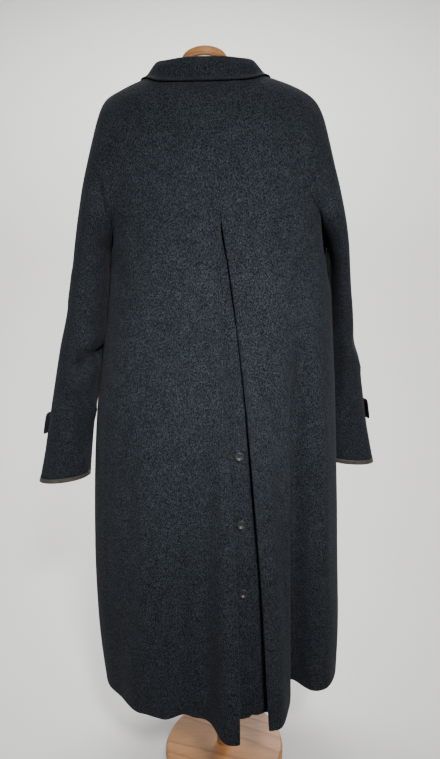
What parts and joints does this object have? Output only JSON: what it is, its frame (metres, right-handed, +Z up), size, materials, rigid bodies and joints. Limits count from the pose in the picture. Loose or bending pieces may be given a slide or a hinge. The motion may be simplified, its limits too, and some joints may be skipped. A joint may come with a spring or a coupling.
{
  "type": "loden coat on dress form",
  "caption": "Long dark loden coat with raglan sleeves, turn-down collar and a deep inverted back pleat with a buttoned vent, worn on a limbless dress form with a wooden stand.",
  "frame": {"origin": "centre of the underside of the round wooden base", "axes": "+Z up along the stand, +Y towards the back of the coat, +X towards the wearer's left"},
  "size_m": [0.7575, 0.4759, 1.5062],
  "materials": {
    "loden": "dark charcoal melange fulled wool, soft nap",
    "loden_tab": "same wool, doubled and topstitched",
    "leather_binding": "brown olive edge binding, matt",
    "horn_button": "dark horn-like, polished rim",
    "form_cover": "cream cotton cover, fine plain weave",
    "stand_wood": "pale pine, clear satin lacquer"
  },
  "bodies": {
    "root": {"back_left": "loden", "back_right": "loden", "vent_underlay_left": "loden", "vent_underlay_right": "loden", "front_left": "loden", "front_right": "loden", "sleeve_left": "loden", "sleeve_right": "loden", "collar": "loden", "cuff_tab_left": "loden_tab", "cuff_tab_right": "loden_tab", "cuff_binding_left": "leather_binding", "cuff_binding_right": "leather_binding", "cuff_button_left": "horn_button", "cuff_button_right": "horn_button", "vent_button_1": "horn_button", "vent_button_2": "horn_button", "vent_button_3": "horn_button", "front_button_1": "horn_button", "front_button_2": "horn_button", "front_button_3": "horn_button", "front_button_4": "horn_button", "form_torso": "form_cover", "form_neck": "form_cover", "neck_cap": "stand_wood", "stand_pole": "stand_wood", "stand_base": "stand_wood"}
  },
  "joints": []
}
